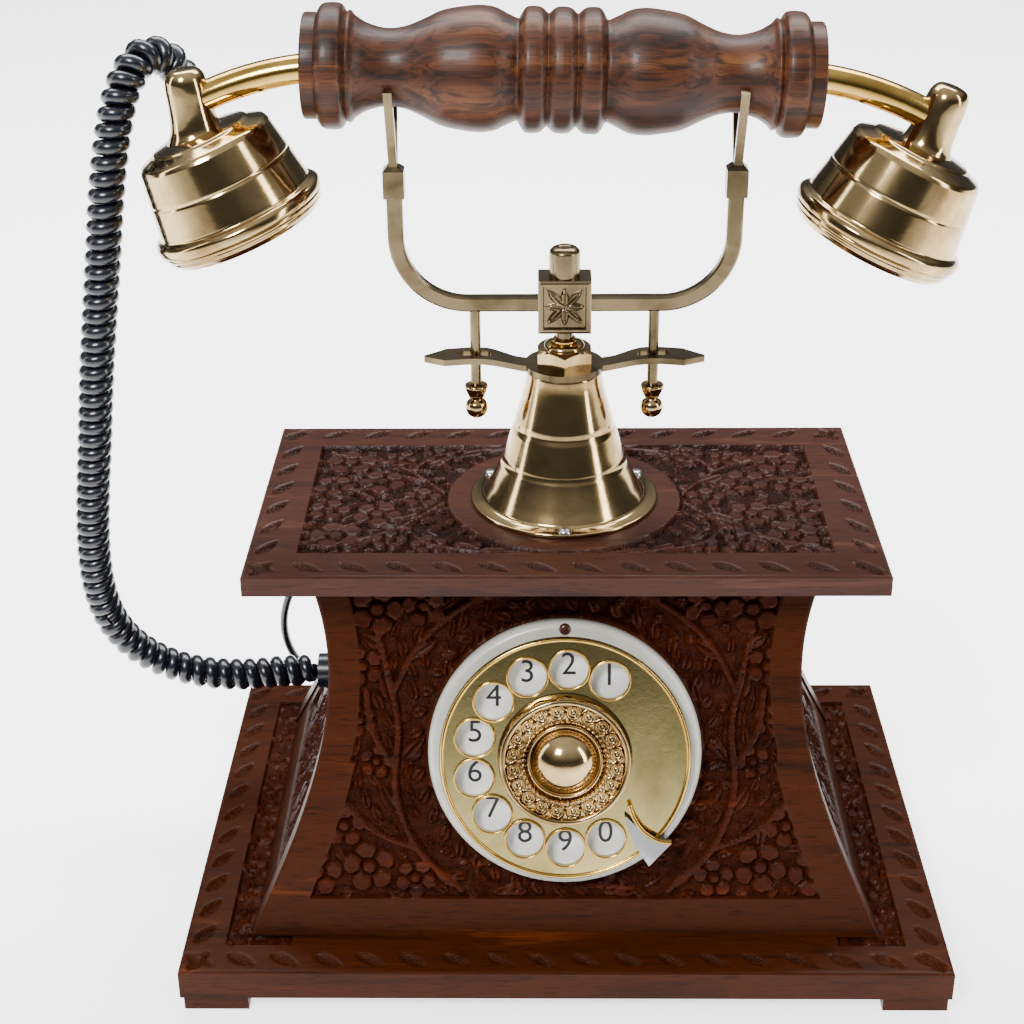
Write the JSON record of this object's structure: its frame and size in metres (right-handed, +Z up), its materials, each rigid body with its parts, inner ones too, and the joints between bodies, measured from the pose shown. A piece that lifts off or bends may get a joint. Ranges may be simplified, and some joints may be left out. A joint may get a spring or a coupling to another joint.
{
  "type": "cradle telephone",
  "caption": "Carved wooden cradle telephone with a rotary dial, a brass column with a lifting fork cradle, a turned grip between brass cups and a curly cord.",
  "frame": {"origin": "on the surface that the feet stand on, under the middle of the base board", "axes": "+Z up, +X to the right of somebody who faces the dial, and the dial faces -Y"},
  "size_m": [0.2943, 0.236, 0.3056],
  "materials": {
    "case_wood": "carved and waxed, with coloured fields",
    "top_wood": "carved border under lacquer",
    "grip_wood": "turned, streaked and polished",
    "antique_brass": "polished, darkened in the grooves",
    "bright_brass": "polished",
    "pale_brass": "polished, nickel tinted",
    "steel": "bright zinc plated",
    "spring_steel": "drawn wire",
    "white_plastic": "moulded, glossy",
    "number_plate": "white enamel with black figures",
    "wheel_metal": "polished sheet, greenish gold",
    "dark_plastic": "moulded, dark red-brown",
    "cord_plastic": "moulded, blue-black",
    "grey_plastic": "moulded",
    "board": "laminated board with parts",
    "inner_steel": "pressed and zinc plated",
    "clear_plug": "clear moulding"
  },
  "bodies": {
    "housing": {"base_board": "case_wood", "base_feet": "case_wood", "bottom_cover": "grey_plastic", "circuit_board": "board", "column_bell": "antique_brass", "column_nut": "antique_brass", "cord_grommet": "cord_plastic", "cover_screws": "steel", "cradle_spring": "spring_steel", "dial_frame": "inner_steel", "dial_ring": "white_plastic", "dial_screw": "dark_plastic", "dial_spring": "spring_steel", "finger_stop": "steel", "flange_screws": "steel", "front_panel": "case_wood", "guide_bar": "pale_brass", "handset_cord": "cord_plastic", "hook_bracket": "inner_steel", "hook_contacts": "grey_plastic", "left_panel": "case_wood", "line_cord": "cord_plastic", "line_cord_coil": "cord_plastic", "line_grommet": "cord_plastic", "line_plug": "clear_plug", "number_plate": "number_plate", "pulse_contacts": "grey_plastic", "rear_panel": "case_wood", "right_panel": "case_wood", "ringer": "dark_plastic", "stem_nut": "steel", "stem_tube": "bright_brass", "top_board": "top_wood"},
    "cradle": {"cradle_block": "pale_brass", "cradle_finial": "pale_brass", "left_arm": "pale_brass", "right_arm": "pale_brass", "left_fork": "pale_brass", "right_fork": "pale_brass", "guide_rods": "pale_brass", "guide_knobs": "antique_brass", "plunger_rod": "pale_brass", "plunger_collar": "steel"},
    "hook_lever": {"hook_lever": "inner_steel"},
    "handset": {"handle_grip": "grip_wood", "handset_tube": "bright_brass", "cup_horns": "antique_brass", "left_cup": "antique_brass", "right_cup": "antique_brass", "cup_rims": "antique_brass", "mouth_cap": "dark_plastic", "ear_cap": "dark_plastic", "transmitter": "grey_plastic", "receiver": "grey_plastic", "cord_gland": "cord_plastic"},
    "finger_wheel": {"finger_wheel": "wheel_metal", "hub_rosette": "antique_brass", "dial_shaft": "steel", "main_gear": "bright_brass"},
    "governor": {"governor": "bright_brass"}
  },
  "joints": [
    {"name": "cradle_lift", "type": "slide", "parent": "housing", "child": "cradle", "axis": [0, 0, 1], "range_m": [0, 0.008], "stiffness_N_per_m": 150, "springref_m": 0.02, "deforming": ["cradle_spring"]},
    {"name": "handset_lift", "type": "slide", "parent": "cradle", "child": "handset", "axis": [0, 0, 1], "range_m": [0, 0.08], "deforming": ["handset_cord"]},
    {"name": "hook_lever_swing", "type": "hinge", "parent": "housing", "child": "hook_lever", "pos_m": [0.018, 0, 0.07045], "axis": [0, 1, 0], "range_deg": [0, 21.5]},
    {"name": "dial_turn", "type": "hinge", "parent": "housing", "child": "finger_wheel", "pos_m": [0, -0.05117, 0.07778], "axis": [0, 0.9608, -0.2773], "range_deg": [0, 326], "stiffness_Nm_per_rad": 0.003, "springref_deg": -114.59},
    {"name": "governor_spin", "type": "hinge", "parent": "housing", "child": "governor", "pos_m": [0, -0.04157, 0.04972], "axis": [0, 0.9608, -0.2773], "range_deg": [-1304, 0]}
  ],
  "couplings": [
    {"joint": "hook_lever_swing", "follows": "cradle_lift", "rad_per_m": 46.9},
    {"joint": "governor_spin", "follows": "dial_turn", "ratio": -4}
  ]
}
